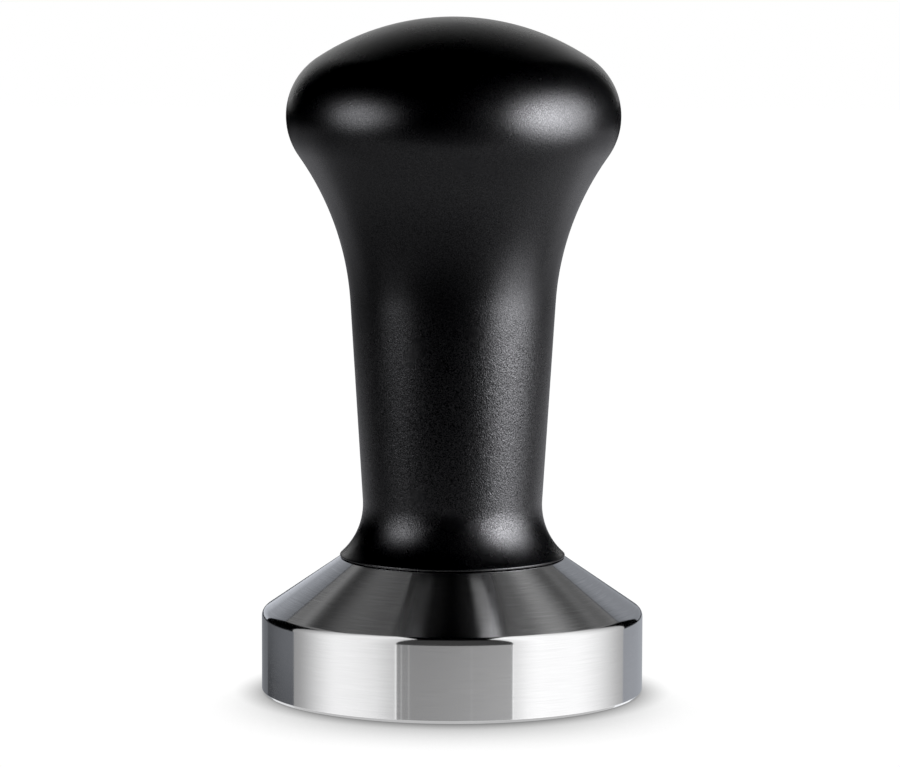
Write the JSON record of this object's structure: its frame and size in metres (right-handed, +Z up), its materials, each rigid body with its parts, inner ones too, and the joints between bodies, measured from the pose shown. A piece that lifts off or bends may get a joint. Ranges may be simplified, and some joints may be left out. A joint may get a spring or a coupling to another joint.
{
  "type": "espresso tamper",
  "caption": "Espresso tamper: a turned steel base with a flat face and conical shoulder, screwed to a slender black handle with a domed mushroom head.",
  "frame": {"origin": "centre of the base's flat underside, on the tamper's axis", "axes": "+Z up along the tamper's axis, from the base to the handle's dome; X and Y are any two directions across it"},
  "size_m": [0.051, 0.051, 0.09],
  "materials": {
    "stainless_steel": "fine turned, bright",
    "black_anodised": "bead-blasted, black anodised",
    "stud_steel": "plain, rolled thread",
    "nitrile_rubber": "matt moulded"
  },
  "bodies": {
    "base": {"base": "stainless_steel"},
    "seal_ring": {"seal_ring": "nitrile_rubber"},
    "handle": {"handle": "black_anodised", "threaded_stud": "stud_steel"}
  },
  "joints": [
    {"name": "handle_lift", "type": "slide", "parent": "base", "child": "seal_ring", "axis": [0, 0, 1], "range_m": [0, 0.00875]},
    {"name": "handle_turn", "type": "hinge", "parent": "seal_ring", "child": "handle", "pos_m": [0, 0, 0.0181], "axis": [0, 0, 1], "range_deg": [0, 2520]}
  ],
  "couplings": [
    {"joint": "handle_turn", "follows": "handle_lift", "rad_per_m": 5026.5}
  ]
}
